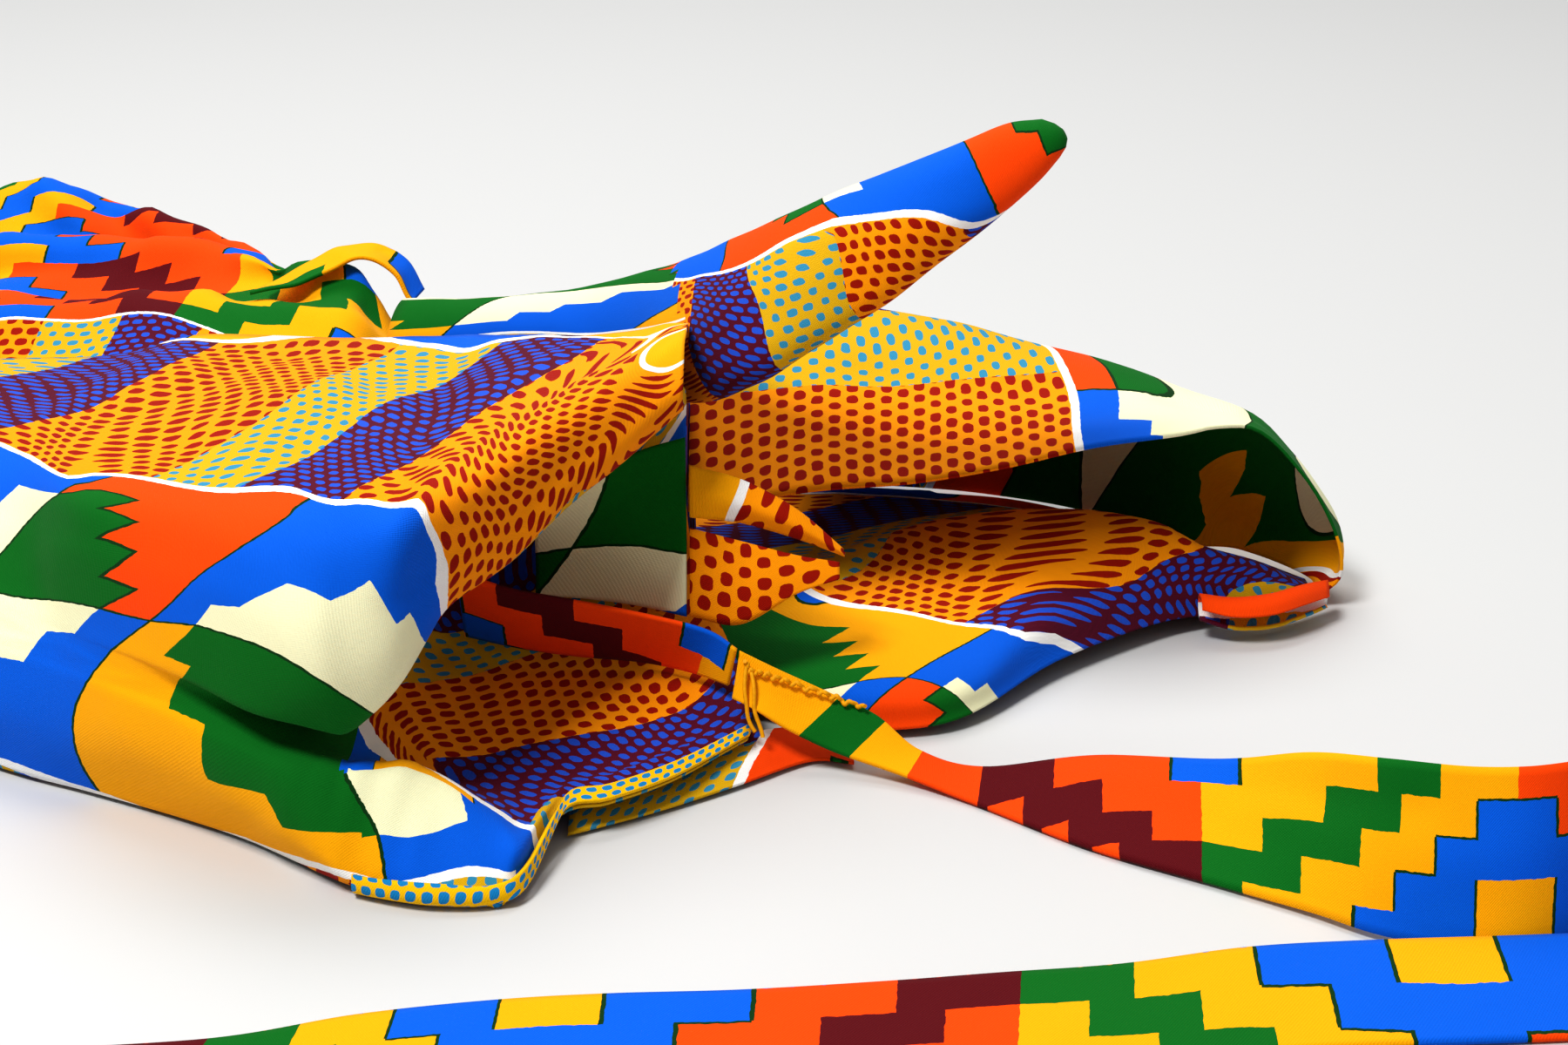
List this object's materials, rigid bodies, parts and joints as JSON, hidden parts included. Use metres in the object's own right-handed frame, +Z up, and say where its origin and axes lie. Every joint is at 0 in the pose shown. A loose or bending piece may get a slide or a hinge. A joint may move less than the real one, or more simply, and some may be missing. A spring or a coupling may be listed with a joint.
{
  "type": "kente cloth waist apron",
  "caption": "Cotton waist apron in kente-print cloth, dropped in a soft heap with a raised point, an open loop, a hemmed side and two long flat ties.",
  "frame": {"origin": "on the table under the middle of the heap's own box", "axes": "+X to the right along the heap's longest side, +Y away from the hemmed front, +Z up from the table"},
  "size_m": [0.515, 0.4724, 0.142],
  "materials": {
    "panel_print": "matt printed cotton",
    "hem_print": "matt printed cotton, double-turned hem",
    "strap_print": "matt printed cotton, folded strip",
    "hidden_cloth": "matt printed cotton, in shade"
  },
  "bodies": {
    "root": {"main_panel": "panel_print", "hem_side": "hem_print", "raised_point": "panel_print", "back_ruffle": "panel_print", "loop_upper": "panel_print", "loop_lower": "panel_print", "loop_edge_curl": "panel_print", "inner_drape": "panel_print", "small_loop_upper": "panel_print", "small_loop_lower": "panel_print", "under_layer": "panel_print", "waistband": "strap_print", "strap_back": "strap_print", "tie_right": "strap_print", "tie_front": "strap_print", "hidden_layers": "hidden_cloth"}
  },
  "joints": []
}
